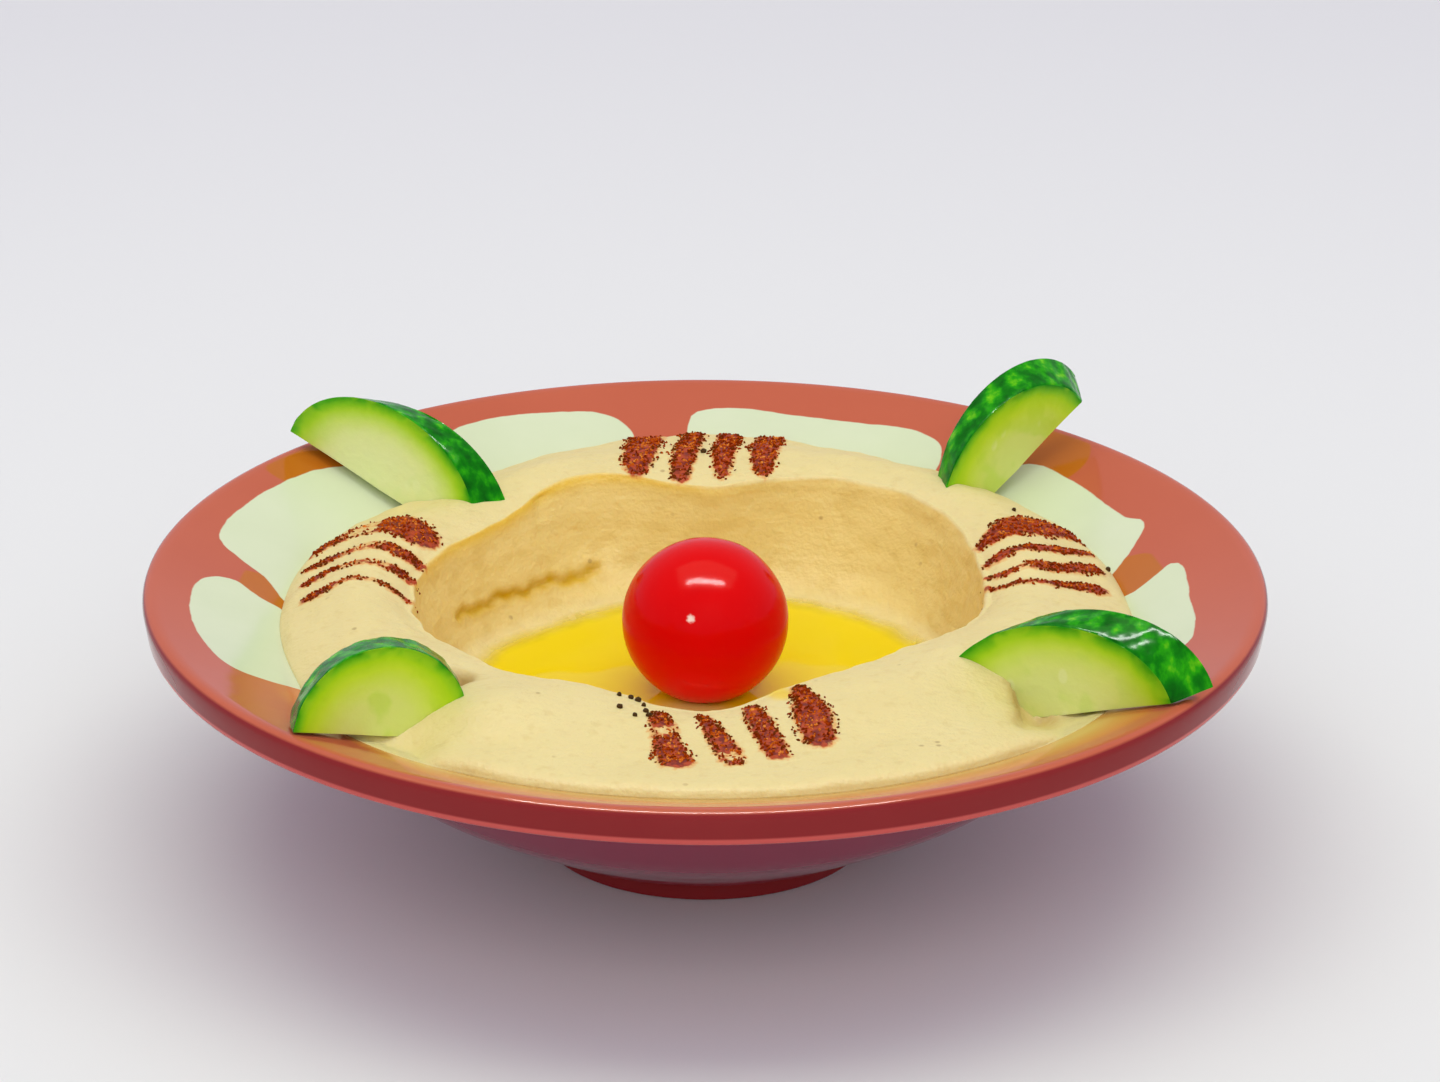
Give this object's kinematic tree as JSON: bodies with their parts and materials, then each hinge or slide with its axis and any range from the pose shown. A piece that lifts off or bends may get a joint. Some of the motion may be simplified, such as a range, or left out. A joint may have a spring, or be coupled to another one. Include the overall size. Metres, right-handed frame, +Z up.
{
  "type": "bowl of hummus",
  "caption": "Ring of hummus in a flared bowl, with oil in its middle well, a cherry tomato and cucumber half slices pushed in round it",
  "frame": {"origin": "middle of the ring that the bowl stands on, at the height of the surface it stands on", "axes": "+Z up along the bowl's axis, +X to the right and +Y away as the shown side is looked at"},
  "size_m": [0.2, 0.2, 0.0669],
  "materials": {
    "bowl_melamine": "moulded melamine, terracotta red with pale green blotches inside, glossy",
    "hummus": "soft cream paste, smoothed with a spoon, slightly moist",
    "olive_oil": "yellow oil, wet and clear",
    "tomato_skin": "tight glossy red skin",
    "cucumber": "moist pale green flesh in a dark green rind",
    "ground_spice": "coarse dark red powder"
  },
  "bodies": {
    "root": {"bowl": "bowl_melamine", "hummus": "hummus", "olive_oil": "olive_oil", "tomato": "tomato_skin", "cucumber_back_left": "cucumber", "cucumber_back_right": "cucumber", "cucumber_front_left": "cucumber", "cucumber_front_right": "cucumber"}
  },
  "joints": []
}
